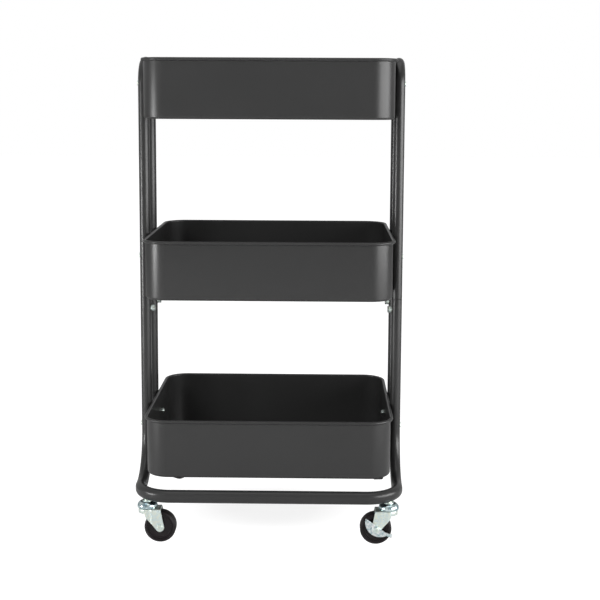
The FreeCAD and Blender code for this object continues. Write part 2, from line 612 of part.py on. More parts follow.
def brake_lever():
    """A half-moon plate, drawn with the axle at the origin and +X away from the stem.

    Its upper end has a foot tab bent outwards. An arm at its lower end ends in a shoe bent in over
    the tread.
    """
    size = 2 * LEVER_ARC_RADIUS
    lift = AXIS_Z * LEVER_EDGE_RISE
    centre = Vector(-LEVER_ARC_CENTRE_BACK, 0, LEVER_ARC_CENTRE_UP)
    disc = cylinder(LEVER_ARC_RADIUS, centre, AXIS_Y, LEVER_THICKNESS)
    above = Part.makeBox(2 * size, 3 * LEVER_THICKNESS, size, Vector(-size, -LEVER_THICKNESS, 0))
    plate = disc.cut(above.rotated(ORIGIN, AXIS_Y, -LEVER_EDGE_ANGLE).translated(lift))
    angle = math.radians(LEVER_EDGE_ANGLE)
    centre_along = centre.x * math.cos(angle) + (centre.z - LEVER_EDGE_RISE) * math.sin(angle)
    centre_over = -centre.x * math.sin(angle) + (centre.z - LEVER_EDGE_RISE) * math.cos(angle)
    edge_end = centre_along + math.sqrt(LEVER_ARC_RADIUS ** 2 - centre_over ** 2)
    tab = Part.makeBox(LEVER_THICKNESS, LEVER_TAB_LENGTH, LEVER_TAB_WIDTH,
                       Vector(edge_end - LEVER_TAB_INSET - LEVER_THICKNESS, 0, -LEVER_TAB_WIDTH))
    tab = tab.rotated(ORIGIN, AXIS_Y, -LEVER_EDGE_ANGLE).translated(lift)
    shoe = Part.makeBox(LEVER_THICKNESS, LEVER_TAB_LENGTH, LEVER_TAB_WIDTH,
                        Vector(WHEEL_RADIUS + SHOE_CLEARANCE, LEVER_THICKNESS - LEVER_TAB_LENGTH,
                               -LEVER_TAB_WIDTH / 2))
    arm_length = WHEEL_RADIUS + SHOE_CLEARANCE + LEVER_THICKNESS - SHOE_ARM_ROOT
    arm = Part.makeBox(arm_length, LEVER_THICKNESS, LEVER_TAB_WIDTH,
                       Vector(SHOE_ARM_ROOT, 0, -LEVER_TAB_WIDTH / 2))
    shape = fused([plate, tab, fused([arm, shoe]).rotated(ORIGIN, AXIS_Y, -SHOE_ANGLE)])
    hole = cylinder(AXLE_RADIUS + RUNNING_CLEARANCE, AXIS_Y * -OVERRUN, AXIS_Y,
                    LEVER_THICKNESS + 2 * OVERRUN)
    rivet_start = Vector(BRAKE_RIVET_AHEAD, -OVERRUN, BRAKE_RIVET_UP)
    rivet_hole = cylinder(BRAKE_RIVET_RADIUS + PRESS_CLEARANCE, rivet_start, AXIS_Y,
                          LEVER_THICKNESS + 2 * OVERRUN)
    return shape.cut([hole, rivet_hole])


def brake_rivet():
    start = Vector(BRAKE_RIVET_AHEAD, 0, BRAKE_RIVET_UP)
    shank = cylinder(BRAKE_RIVET_RADIUS, start, AXIS_Y, LEVER_THICKNESS)
    head = cylinder(BRAKE_RIVET_HEAD_RADIUS, start + AXIS_Y * LEVER_THICKNESS, AXIS_Y,
                    BRAKE_RIVET_HEAD_HEIGHT)
    return fused([shank, head])


def on_fork(shape, brake_side):
    """Places a lever piece beside the fork's leg, mirrored if the brake is on the other leg."""
    beside = shape.translated(Vector(0, FORK_HALF_WIDTH + LEVER_GAP, 0))
    if brake_side < 0:
        beside = beside.mirror(ORIGIN, AXIS_Y)
    return beside.translated(Vector(TRAIL, 0, WHEEL_RADIUS))


def caster_pieces(brake_side):
    """One caster's pieces, with the stem's axis on Z and the wheel trailing along +X."""
    pieces = {
        "stem": stem(),
        "race_cup": race_cup(),
        "balls": balls(),
        "fork": fork(),
        "axle": axle(brake_side),
        "tyre": tyre(),
        "hub": hub(),
        "axle_sleeve": axle_sleeve(),
    }
    if brake_side:
        pieces["brake_lever"] = on_fork(brake_lever(), brake_side)
        pieces["brake_rivet"] = on_fork(brake_rivet(), brake_side)
    return pieces


def export_casters():
    for name, caster in CASTERS.items():
        side, end = caster["side"]
        for piece, shape in caster_pieces(caster["brake_side"]).items():
            turned = shape.rotated(ORIGIN, AXIS_Z, caster["trail_angle"])
            export(name + "_" + piece, turned.translated(Vector(side * STEM_X, end * STEM_Y, 0)))


def export_group(node, make, places):
    """Writes identical pieces as the separate solids of one node."""
    export(node, Part.makeCompound([make(*place) for place in places]))


def main():
    os.makedirs("parts", exist_ok=True)
    for name, rim in RIMS.items():
        places = screw_places(rim - SCREW_DROP)
        export(name + "_tray", tray(rim))
        export_group(name + "_tray_screws", tray_screw, places)
        export_group(name + "_tray_spacers", tray_spacer, places)
        export_group(name + "_tray_nuts", tray_nut, places)
    export("left_upper_frame", upper_frame(-1))
    export("right_upper_frame", upper_frame(1))
    export("front_lower_frame", lower_frame(-1))
    export("rear_lower_frame", lower_frame(1))
    posts = [(side, end) for side in (-1, 1) for end in (-1, 1)]
    export_group("joint_sleeves", joint_sleeve, posts)
    export_group("joint_washers", joint_washer, posts)
    export_group("joint_bolts", joint_bolt, posts)
    export_group("caster_inserts", caster_insert, posts)
    export_casters()


main()
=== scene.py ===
"""Looks for a three-tier rolling tray cart: coated steel, zinc casters and dark wheels."""
import json
import math

import bmesh
import bpy
from bpy.props import FloatProperty, FloatVectorProperty, PointerProperty
from mathutils import Matrix, Vector

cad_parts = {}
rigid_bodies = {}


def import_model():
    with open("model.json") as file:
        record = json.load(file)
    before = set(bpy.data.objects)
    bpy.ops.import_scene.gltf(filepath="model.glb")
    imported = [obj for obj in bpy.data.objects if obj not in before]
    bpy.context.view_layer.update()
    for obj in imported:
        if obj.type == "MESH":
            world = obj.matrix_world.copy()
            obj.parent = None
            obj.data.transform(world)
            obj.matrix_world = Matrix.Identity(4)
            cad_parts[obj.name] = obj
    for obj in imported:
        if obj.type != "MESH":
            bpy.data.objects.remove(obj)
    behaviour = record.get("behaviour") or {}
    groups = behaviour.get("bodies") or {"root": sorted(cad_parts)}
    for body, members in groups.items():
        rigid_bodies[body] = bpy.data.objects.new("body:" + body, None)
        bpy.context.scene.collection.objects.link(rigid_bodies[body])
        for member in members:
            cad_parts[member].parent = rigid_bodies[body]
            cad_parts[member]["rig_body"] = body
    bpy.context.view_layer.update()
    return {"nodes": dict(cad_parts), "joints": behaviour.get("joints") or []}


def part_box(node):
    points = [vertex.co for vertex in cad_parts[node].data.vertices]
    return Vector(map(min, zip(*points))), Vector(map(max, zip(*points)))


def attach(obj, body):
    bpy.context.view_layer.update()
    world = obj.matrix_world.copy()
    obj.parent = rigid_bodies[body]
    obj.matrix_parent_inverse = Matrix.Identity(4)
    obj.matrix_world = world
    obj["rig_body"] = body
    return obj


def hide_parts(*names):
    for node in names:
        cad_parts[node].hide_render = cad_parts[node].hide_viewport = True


bl_info = {
    "name": "Rolling Tray Cart",
    "version": (1, 0, 0),
    "blender": (4, 5, 0),
    "location": "3D View > Sidebar > Tray Cart",
    "description": "Models and finishes a three-tier rolling tray cart round its CAD frame",
    "category": "Add Mesh",
}

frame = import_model()
NODES = frame["nodes"]
JOINTS = {joint["name"]: joint for joint in frame["joints"]}

FRAME_BODY = "cart_frame"
LEVELS = ("upper", "middle", "lower")
CORNERS = ("front_left", "front_right", "rear_left", "rear_right")
QUARTER = math.pi / 2
AXIS_X = Vector((1, 0, 0))
AXIS_Z = Vector((0, 0, 1))
WHITE = (1, 1, 1, 1)

# Merging, shading and rounding of edges
MERGE_DISTANCE = 1e-6
FLAT_ANGLE = math.radians(1.0)
FOLD_ANGLE = math.radians(20.0)
SMOOTH_ANGLE = math.radians(35.0)
SHARP_ANGLE = math.radians(40.0)
CORNER_ANGLE = 1.0
FINE_EDGE = 0.0002
EDGE = 0.0003
BOLT_EDGE = 0.0004
FORK_FOLD = 0.0006

# Facets of the round stretches
BEAD_STEPS = 20
FLOOR_BEND_STEPS = 6
TRAY_CORNER_STEPS = 20
OVAL_STEPS = 64
OVAL_SIDE_CUTS = 3
ARCH_STEPS = 60
FOOT_STEPS = 40
BASE_CORNER_STEPS = 32
DIMPLE_STEPS = 12
DIMPLE_MARGIN = 1.15
TYRE_STEPS = 96
CORE_STEPS = 72
SHOULDER_STEPS = 6

# The powder coat: orange peel, and its change of tone over the piece and from speck to speck
PEEL_SCALE = 1400.0
PEEL_DETAIL = 2.0
PEEL_DEPTH = 0.00002
TONE_SCALE = 9.0
TONE_SPAN = (0.92, 1.08)
SPECKLE_NOISE = (0.3, 0.7)
SPECKLE_SPAN = (0.9, 1.1)

# The plating: patches of two tones and of gloss, waves in the sheet and a fine grain
PATCH_DETAIL = 4.0
PATCH_NOISE = (0.38, 0.62)
PATCH_GLOSS = (0.7, 1.35)
ZINC_WAVE = 0.0002
ZINC_GRAIN_SCALE = 2600.0
ZINC_GRAIN_SHARE = 0.03

FULL_SPAN = (0.0, 1.0)
BUMP_STRENGTH = 0.6

# The floor's whiteness as mirrored, as bounced light and as seen, and its glow, which is dimmed
# round the cart as a painted shadow
FLOOR_MIRRORED = (0.70, 0.70, 0.70, 1)
FLOOR_BOUNCED = (0.55, 0.55, 0.55, 1)
FLOOR_SEEN = (0.2, 0.2, 0.2, 1)
FLOOR_GLEAM = 0.1
FLOOR_SIZE = 12.0
# A painted shadow: within this reach round the cart the floor's glow is dimmer
PAINTED_SHADOW_REACH = (0.19, 0.15, 1)
PAINTED_SHADOW_FADE = (0.3, 1.2)
PAINTED_SHADOW_GLOW = (0.80, 1.05)

# Where the surrounding light changes, as parts of a unit direction
FRONT_FADE = (0.1, -0.7)
ABOVE_FADE = (0.45, 0.7)

# Millimetres across the camera's sensor
SENSOR_WIDTH = 36.0


def length(name, description, default):
    return FloatProperty(name=name, description=description, default=default, unit="LENGTH",
                         precision=5)


def colour(name, description, default):
    return FloatVectorProperty(name=name, description=description, default=default, size=3,
                               min=0.0, max=1.0, subtype="COLOR")


class TraySizes(bpy.types.PropertyGroup):
    """The pressed trays."""
    sheet: length("Sheet", "Thickness of the tray's steel", 0.001)
    bead: length("Bead radius", "Radius of the rolled rim", 0.0026)
    overhang: length("Overhang", "How far the rim stands out from the wall", 0.004)
    corner: length("Corner radius", "Plan radius over the rim", 0.040)
    floor_bend: length("Floor bend", "Outer radius between wall and floor", 0.004)


class TubeSizes(bpy.types.PropertyGroup):
    """The flat-oval frame tube."""
    width: length("Width", "Narrow size of the oval", 0.0173)
    depth: length("Depth", "Wide size of the oval", 0.0208)
    arch: length("Arch bend", "Centreline radius at the top of the side frames", 0.032)
    foot: length("Foot bend", "Centreline radius where a post turns out to the base", 0.074)
    corner: length("Base corner", "Centreline radius at the corners of the base", 0.052)
    dimple_radius: length("Dimple radius", "Half the height of a pressed screw dimple", 0.0072)
    dimple_depth: length("Dimple depth", "Depth of a pressed screw dimple", 0.0015)
    seam_lip: length("Seam lip", "How far a tube end is rounded in at the seam", 0.0005)


class CoatColours(bpy.types.PropertyGroup):
    """The powder coat and the moulded bushes."""
    tray: colour("Tray coat", "Charcoal coat on the trays", (0.020, 0.020, 0.020))
    tube: colour("Tube coat", "Charcoal coat on the frame tube", (0.0195, 0.0195, 0.0195))
    bush: colour("Bush", "Black of the moulded bushes", (0.02, 0.02, 0.02))


class MetalColours(bpy.types.PropertyGroup):
    """The bare and plated metal."""
    zinc: colour("Zinc", "Bright bluish zinc plating", (0.74, 0.86, 0.85))
    zinc_warm: colour("Warm zinc", "Yellowish patches in the plating", (0.85, 0.90, 0.80))
    zinc_dull: colour("Dull zinc", "Darker patches on the brake levers", (0.46, 0.60, 0.63))
    zinc_pale: colour("Pale zinc", "Whitish patches on the brake levers", (0.92, 0.93, 0.93))
    race: colour("Race", "Darker, glossier zinc of the ball races", (0.30, 0.43, 0.48))
    steel: colour("Steel", "Plain steel", (0.42, 0.42, 0.43))


class WheelSizes(bpy.types.PropertyGroup):
    """The wheels: a tyre on a recessed core."""
    width: length("Width", "Width of the tyre", 0.018)
    shoulder: length("Shoulder", "Rounding of the tread's edges", 0.0026)
    tyre: length("Tyre", "Thickness of the tyre", 0.0052)
    rib: length("Rib radius", "Radius of the fine moulded rib on the tyre's side", 0.0222)
    rib_height: length("Rib height", "How far the rib stands out", 0.0006)
    groove: length("Groove", "Width of the groove between tyre and core", 0.0006)
    ring: length("Ring", "Width of the core's outer ring", 0.0022)
    recess: length("Recess", "Depth of the core's face below its ring", 0.0016)
    boss: length("Boss radius", "Radius of the boss round the axle", 0.0075)
    boss_width: length("Boss width", "Width of the boss", 0.0198)
    bore: length("Bore", "Radius of the hole for the axle sleeve", 0.0046)


class WheelColours(bpy.types.PropertyGroup):
    """The wheels."""
    tyre: colour("Tyre", "Dark tread", (0.0056, 0.0036, 0.0043))
    core: colour("Core", "Dark wheel core", (0.0072, 0.0050, 0.0056))


class StageSettings(bpy.types.PropertyGroup):
    """Camera, lamps and floor."""
    camera_place: FloatVectorProperty(name="Camera place", description="Where the camera stands",
                                      default=(0.07818, -2.06950, 0.71360), size=3,
                                      subtype="TRANSLATION", unit="LENGTH")
    yaw: FloatProperty(name="Yaw", description="Turn of the view to the right",
                       default=math.radians(-0.865), subtype="ANGLE")
    pitch: FloatProperty(name="Pitch", description="Tilt of the view downwards",
                         default=math.radians(7.286), subtype="ANGLE")
    roll: FloatProperty(name="Roll", description="Turn of the camera about its view",
                        default=math.radians(0.272), subtype="ANGLE")
    lens: FloatProperty(name="Lens", description="Focal length for a 36 mm sensor", default=73.71)
    rise: FloatProperty(name="Shift", description="Upward shift of the frame", default=-0.080)
    left_light: FloatProperty(name="Left lamp",
                              description="Power of the narrow lamp at the left",
                              default=34.0, unit="POWER")
    right_light: FloatProperty(name="Right lamp", description="Power of the wide lamp at the right",
                               default=84.0, unit="POWER")
    top_light: FloatProperty(name="Top lamp", description="Power of the lamp overhead",
                             default=16.0, unit="POWER")
    fill_light: FloatProperty(name="Fill lamp",
                              description="Power of the lamp that reaches into the trays",
                              default=42.0, unit="POWER")
    rear_light: FloatProperty(name="Rear lamp", description="Power of the lamp behind the cart",
                              default=5.0, unit="POWER")
    ambient: FloatProperty(name="Ambient", description="Surrounding light from the front",
                           default=0.19)
    ambient_behind: FloatProperty(name="Ambient behind",
                                  description="Surrounding light from the sides and behind",
                                  default=0.16)
    ambient_above: FloatProperty(name="Ambient above",
                                 description="Share of the surrounding light left overhead",
                                 default=0.3)
    mirrored: FloatProperty(name="Mirrored surroundings",
                            description="Brightness of the surroundings in mirrored rays",
                            default=0.5)


def link_new(name, bm, material):
    """Makes an object from a bmesh, with smooth faces and sharp edges past an angle."""
    bmesh.ops.remove_doubles(bm, verts=bm.verts, dist=MERGE_DISTANCE)
    bmesh.ops.recalc_face_normals(bm, faces=bm.faces)
    mesh = bpy.data.meshes.new(name)
    bm.to_mesh(mesh)
    bm.free()
    mesh.shade_smooth()
    mesh.set_sharp_from_angle(angle=SMOOTH_ANGLE)
    mesh.materials.append(material)
    piece = bpy.data.objects.new(name, mesh)
    bpy.context.scene.collection.objects.link(piece)
    return piece


def soften(bm, width, segments=2, above=SHARP_ANGLE, below=math.pi):
    """Rounds every edge whose faces turn by more than one angle and less than another."""
    sharp = [edge for edge in bm.edges
             if edge.is_manifold and above < edge.calc_face_angle() < below]
    bmesh.ops.bevel(bm, geom=sharp, offset=width, offset_type="OFFSET", segments=segments,
                    profile=0.5, affect="EDGES", clamp_overlap=True, material=-1)


def dress(node, material, width, segments=2, fold=0.0):
    """Stands for a CAD node with the same shape, its facets merged and its edges rounded."""
    bm = bmesh.new()
    bm.from_mesh(NODES[node].data)
    bmesh.ops.remove_doubles(bm, verts=bm.verts, dist=MERGE_DISTANCE)
    bmesh.ops.dissolve_limit(bm, angle_limit=FLAT_ANGLE, verts=bm.verts, edges=bm.edges)
    if fold:
        soften(bm, fold, 3, FOLD_ANGLE, SHARP_ANGLE)
    soften(bm, width, segments)
    piece = link_new(node + "_piece", bm, material)
    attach(piece, NODES[node]["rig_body"])
    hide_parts(node)
    return piece


def turned(points, steps):
    """A closed solid of revolution about Z from (radius, height) corners."""
    bm = bmesh.new()
    verts = [bm.verts.new((radius, 0, height)) for radius, height in points]
    edges = [bm.edges.new(pair) for pair in zip(verts, verts[1:] + verts[:1])]
    bmesh.ops.spin(bm, geom=verts + edges, cent=(0, 0, 0), axis=(0, 0, 1), angle=math.tau,
                   steps=steps, use_merge=True, use_duplicate=False)
    bmesh.ops.remove_doubles(bm, verts=bm.verts, dist=MERGE_DISTANCE)
    bmesh.ops.recalc_face_normals(bm, faces=bm.faces)
    return bm


def paint(material, *nodes):
    """Gives CAD nodes a material."""
    for node in nodes:
        slots = NODES[node].material_slots
        if not slots:
            NODES[node].data.materials.append(material)
        for material_slot in slots:
            material_slot.material = material


def group_socket(tree, name, in_out, kind, default=None):
    socket = tree.interface.new_socket(name=name, in_out=in_out, socket_type=kind)
    if default is not None:
        socket.default_value = default
    return socket


def map_range(nodes, taken, given):
    """A Map Range node from one span of numbers to another."""
    node = nodes.new("ShaderNodeMapRange")
    node.inputs["From Min"].default_value = taken[0]
    node.inputs["From Max"].default_value = taken[1]
    node.inputs["To Min"].default_value = given[0]
    node.inputs["To Max"].default_value = given[1]
    return node


def coat_grain_group():
    """Powder coat: fine orange peel, a slow change of tone and of gloss."""
    tree = bpy.data.node_groups.new("Coat Grain", "ShaderNodeTree")
    group_socket(tree, "Colour", "INPUT", "NodeSocketColor", (0.05, 0.05, 0.05, 1))
    group_socket(tree, "Gloss", "INPUT", "NodeSocketFloat", 0.4)
    group_socket(tree, "Colour", "OUTPUT", "NodeSocketColor")
    group_socket(tree, "Roughness", "OUTPUT", "NodeSocketFloat")
    group_socket(tree, "Height", "OUTPUT", "NodeSocketFloat")
    nodes, links = tree.nodes, tree.links
    given = nodes.new("NodeGroupInput")
    result = nodes.new("NodeGroupOutput")
    place = nodes.new("ShaderNodeTexCoord")
    peel = nodes.new("ShaderNodeTexNoise")
    peel.inputs["Scale"].default_value = PEEL_SCALE
    peel.inputs["Detail"].default_value = PEEL_DETAIL
    slow = nodes.new("ShaderNodeTexNoise")
    slow.inputs["Scale"].default_value = TONE_SCALE
    links.new(place.outputs["Object"], peel.inputs["Vector"])
    links.new(place.outputs["Object"], slow.inputs["Vector"])
    tone = map_range(nodes, FULL_SPAN, TONE_SPAN)
    links.new(slow.outputs["Fac"], tone.inputs["Value"])
    speckle = map_range(nodes, SPECKLE_NOISE, SPECKLE_SPAN)
    links.new(peel.outputs["Fac"], speckle.inputs["Value"])
    both = nodes.new("ShaderNodeMath")
    both.operation = "MULTIPLY"
    links.new(tone.outputs["Result"], both.inputs[0])
    links.new(speckle.outputs["Result"], both.inputs[1])
    shade = nodes.new("ShaderNodeVectorMath")
    shade.operation = "SCALE"
    links.new(given.outputs["Colour"], shade.inputs[0])
    links.new(both.outputs["Value"], shade.inputs["Scale"])
    links.new(shade.outputs["Vector"], result.inputs["Colour"])
    rough = nodes.new("ShaderNodeMath")
    rough.operation = "MULTIPLY"
    links.new(given.outputs["Gloss"], rough.inputs[0])
    links.new(tone.outputs["Result"], rough.inputs[1])
    links.new(rough.outputs["Value"], result.inputs["Roughness"])
    links.new(peel.outputs["Fac"], result.inputs["Height"])
    return tree


def plating_group():
    """Zinc plating: cool and warm patches, slow waves in the sheet and a fine grain."""
    tree = bpy.data.node_groups.new("Plating", "ShaderNodeTree")
    group_socket(tree, "Cool", "INPUT", "NodeSocketColor", (0.6, 0.6, 0.6, 1))
    group_socket(tree, "Warm", "INPUT", "NodeSocketColor", (0.6, 0.6, 0.5, 1))
    group_socket(tree, "Patch", "INPUT", "NodeSocketFloat", 120.0)
    group_socket(tree, "Gloss", "INPUT", "NodeSocketFloat", 0.3)
    group_socket(tree, "Colour", "OUTPUT", "NodeSocketColor")
    group_socket(tree, "Roughness", "OUTPUT", "NodeSocketFloat")
    group_socket(tree, "Height", "OUTPUT", "NodeSocketFloat")
    nodes, links = tree.nodes, tree.links
    given = nodes.new("NodeGroupInput")
    result = nodes.new("NodeGroupOutput")
    place = nodes.new("ShaderNodeTexCoord")
    patch = nodes.new("ShaderNodeTexNoise")
    patch.inputs["Detail"].default_value = PATCH_DETAIL
    links.new(place.outputs["Object"], patch.inputs["Vector"])
    links.new(given.outputs["Patch"], patch.inputs["Scale"])
    clear = map_range(nodes, PATCH_NOISE, FULL_SPAN)
    links.new(patch.outputs["Fac"], clear.inputs["Value"])
    mix = nodes.new("ShaderNodeMix")
    mix.data_type = "RGBA"
    links.new(clear.outputs["Result"], mix.inputs["Factor"])
    links.new(given.outputs["Cool"], mix.inputs["A"])
    links.new(given.outputs["Warm"], mix.inputs["B"])
    links.new(mix.outputs["Result"], result.inputs["Colour"])
    fine = nodes.new("ShaderNodeTexNoise")
    fine.inputs["Scale"].default_value = ZINC_GRAIN_SCALE
    links.new(place.outputs["Object"], fine.inputs["Vector"])
    spread = map_range(nodes, FULL_SPAN, PATCH_GLOSS)
    links.new(patch.outputs["Fac"], spread.inputs["Value"])
    rough = nodes.new("ShaderNodeMath")
    rough.operation = "MULTIPLY"
    links.new(spread.outputs["Result"], rough.inputs[0])
    links.new(given.outputs["Gloss"], rough.inputs[1])
    links.new(rough.outputs["Value"], result.inputs["Roughness"])
    height = nodes.new("ShaderNodeMath")
    height.operation = "MULTIPLY_ADD"
    height.inputs[1].default_value = ZINC_GRAIN_SHARE
    links.new(fine.outputs["Fac"], height.inputs[0])
    links.new(patch.outputs["Fac"], height.inputs[2])
    links.new(height.outputs["Value"], result.inputs["Height"])
    return tree


def group(name, build):
    return bpy.data.node_groups.get(name) or build()


def shader(name, metallic):
    """A material with its Principled shader and a Bump node on its normal."""
    material = bpy.data.materials.new(name)
    material.use_nodes = True
    nodes, links = material.node_tree.nodes, material.node_tree.links
    surface = nodes["Principled BSDF"]
    surface.inputs["Metallic"].default_value = metallic
    bump = nodes.new("ShaderNodeBump")
    bump.inputs["Strength"].default_value = BUMP_STRENGTH
    links.new(bump.outputs["Normal"], surface.inputs["Normal"])
    return material, nodes, links, surface, bump


def coat(name, base, gloss, sheen=0.5):
    """Satin powder coat, or dull moulded plastic with less sheen."""
    if name in bpy.data.materials:
        return bpy.data.materials[name]
    material, nodes, links, surface, bump = shader(name, 0.0)
    grain = nodes.new("ShaderNodeGroup")
    grain.node_tree = group("Coat Grain", coat_grain_group)
    grain.inputs["Colour"].default_value = (*base, 1)
    grain.inputs["Gloss"].default_value = gloss
    surface.inputs["Specular IOR Level"].default_value = sheen
    bump.inputs["Distance"].default_value = PEEL_DEPTH
    links.new(grain.outputs["Colour"], surface.inputs["Base Color"])
    links.new(grain.outputs["Roughness"], surface.inputs["Roughness"])
    links.new(grain.outputs["Height"], bump.inputs["Height"])
    return material


def plating(name, cool, warm, gloss, patch):
    """Plated or bare metal, in patches of two tones."""
    if name in bpy.data.materials:
        return bpy.data.materials[name]
    material, nodes, links, surface, bump = shader(name, 1.0)
    plate = nodes.new("ShaderNodeGroup")
    plate.node_tree = group("Plating", plating_group)
    plate.inputs["Cool"].default_value = (*cool, 1)
    plate.inputs["Warm"].default_value = (*warm, 1)
    plate.inputs["Patch"].default_value = patch
    plate.inputs["Gloss"].default_value = gloss
    bump.inputs["Distance"].default_value = ZINC_WAVE
    links.new(plate.outputs["Colour"], surface.inputs["Base Color"])
    links.new(plate.outputs["Roughness"], surface.inputs["Roughness"])
    links.new(plate.outputs["Height"], bump.inputs["Height"])
    return material


def tray_profile(bm, sizes, rim, bottom, corner):
    """The wall's closed section, in the plane through a corner's centre, outwards along +X."""
    wall = corner - sizes.overhang
    inside = wall - sizes.sheet
    bend = sizes.floor_bend
    bead_x = corner - sizes.bead
    bead_z = rim - sizes.bead
    out_dip = math.sqrt(sizes.bead ** 2 - (wall - bead_x) ** 2)
    in_dip = math.sqrt(sizes.bead ** 2 - (inside - bead_x) ** 2)
    points = [(wall - bend, bottom)]
    for step in range(1, FLOOR_BEND_STEPS + 1):
        turn = QUARTER * step / FLOOR_BEND_STEPS
        points.append((wall - bend + bend * math.sin(turn), bottom + bend - bend * math.cos(turn)))
    start = math.atan2(-out_dip, wall - bead_x) % math.tau
    end = math.atan2(-in_dip, inside - bead_x) % math.tau + math.tau
    for step in range(BEAD_STEPS + 1):
        turn = start + (end - start) * step / BEAD_STEPS
        points.append((bead_x + sizes.bead * math.cos(turn), bead_z + sizes.bead * math.sin(turn)))
    inner_bend = bend - sizes.sheet
    for step in range(FLOOR_BEND_STEPS, -1, -1):
        turn = QUARTER * step / FLOOR_BEND_STEPS
        points.append((wall - bend + inner_bend * math.sin(turn),
                       bottom + bend - inner_bend * math.cos(turn)))
    verts = [bm.verts.new((x, 0, z)) for x, z in points]
    edges = [bm.edges.new(pair) for pair in zip(verts, verts[1:])]
    return verts + edges


def only(kind, geometry):
    return [item for item in geometry if isinstance(item, kind)]


def push(bm, geometry, move):
    """Extrudes loose edges along a vector and returns the new end."""
    made = bmesh.ops.extrude_edge_only(bm, edges=only(bmesh.types.BMEdge, geometry))["geom"]
    bmesh.ops.translate(bm, vec=move, verts=only(bmesh.types.BMVert, made))
    verts = only(bmesh.types.BMVert, made)
    edges = [edge for edge in only(bmesh.types.BMEdge, made)
             if edge.verts[0] in verts and edge.verts[1] in verts]
    return verts + edges


def turn_round(bm, geometry, centre, axis, angle, steps):
    """Spins loose edges about an axis and returns the new end."""
    return bmesh.ops.spin(bm, geom=geometry, cent=centre, axis=axis, angle=angle, steps=steps,
                          use_merge=False, use_normal_flip=False, use_duplicate=False)["geom_last"]


def build_tray(name, sizes, material):
    low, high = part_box(name)
    centre = (low + high) / 2
    straight = (high - low) / 2 - Vector((sizes.corner, sizes.corner, 0))
    bm = bmesh.new()
    section = tray_profile(bm, sizes, high.z, low.z, sizes.corner)
    verts = only(bmesh.types.BMVert, section)
    corner = Vector((centre.x + straight.x, centre.y - straight.y, 0))
    bmesh.ops.rotate(bm, cent=(0, 0, 0), matrix=Matrix.Rotation(-QUARTER, 3, "Z"), verts=verts)
    bmesh.ops.translate(bm, vec=corner, verts=verts)
    for move in (Vector((0, 2 * straight.y, 0)), Vector((-2 * straight.x, 0, 0)),
                 Vector((0, -2 * straight.y, 0)), Vector((2 * straight.x, 0, 0))):
        section = turn_round(bm, section, corner, AXIS_Z, QUARTER, TRAY_CORNER_STEPS)
        section = push(bm, section, move)
        corner = corner + move
    bmesh.ops.remove_doubles(bm, verts=bm.verts, dist=MERGE_DISTANCE)
    bmesh.ops.holes_fill(bm, edges=[edge for edge in bm.edges if edge.is_boundary], sides=0)
    piece = link_new(name + "_pressing", bm, material)
    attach(piece, FRAME_BODY)
    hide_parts(name)


class CART_OT_trays(bpy.types.Operator):
    """Model the three pressed trays with their rolled rims"""
    bl_idname = "cart.trays"
    bl_label = "Trays"

    def execute(self, context):
        material = coat("tray_coat_satin", context.scene.cart_coat.tray, gloss=0.34, sheen=0.4)
        for level in LEVELS:
            build_tray(level + "_tray", context.scene.cart_tray, material)
        return {"FINISHED"}


def oval_ring(bm, sizes, centre):
    """The tube's flat oval in the XY plane, as loose edges."""
    radius = sizes.width / 2
    made = bmesh.ops.create_circle(bm, cap_ends=False, radius=radius,
                                   segments=OVAL_STEPS)["verts"]
    half_step = Matrix.Rotation(math.pi / OVAL_STEPS, 3, "Z")
    bmesh.ops.rotate(bm, cent=(0, 0, 0), matrix=half_step, verts=made)
    straight = Vector((0, sizes.depth / 2 - radius, 0))
    bmesh.ops.translate(bm, vec=straight, verts=[vert for vert in made if vert.co.y > 0])
    bmesh.ops.translate(bm, vec=-straight, verts=[vert for vert in made if vert.co.y < 0])
    sides = [edge for edge in bm.edges if edge.calc_length() > straight.y]
    bmesh.ops.subdivide_edges(bm, edges=sides, cuts=OVAL_SIDE_CUTS)
    bmesh.ops.translate(bm, vec=centre, verts=bm.verts)
    return list(bm.verts) + list(bm.edges)


def resize(bm, ring, factor):
    """Scales a level ring about its own middle."""
    verts = only(bmesh.types.BMVert, ring)
    middle = sum((vert.co for vert in verts), Vector()) / len(verts)
    bmesh.ops.scale(bm, vec=(factor, factor, 1), space=Matrix.Translation(-middle), verts=verts)


def straight_run(bm, ring, heading, distance, levels, reach):
    """Extrudes the tube, with close steps where a dimple will be pressed into a post."""
    here = only(bmesh.types.BMVert, ring)[0].co.z
    stops = {distance}
    least = reach / DIMPLE_STEPS / 2
    if abs(heading.z) > abs(heading.x) + abs(heading.y):
        for level in levels:
            for step in range(-DIMPLE_STEPS, DIMPLE_STEPS + 1):
                along = (level - here) * heading.z + reach * step / DIMPLE_STEPS
                if least < along < distance - least:
                    stops.add(along)
    before = 0.0
    for stop in sorted(stops):
        ring = push(bm, ring, heading * (stop - before))
        before = stop
    return ring


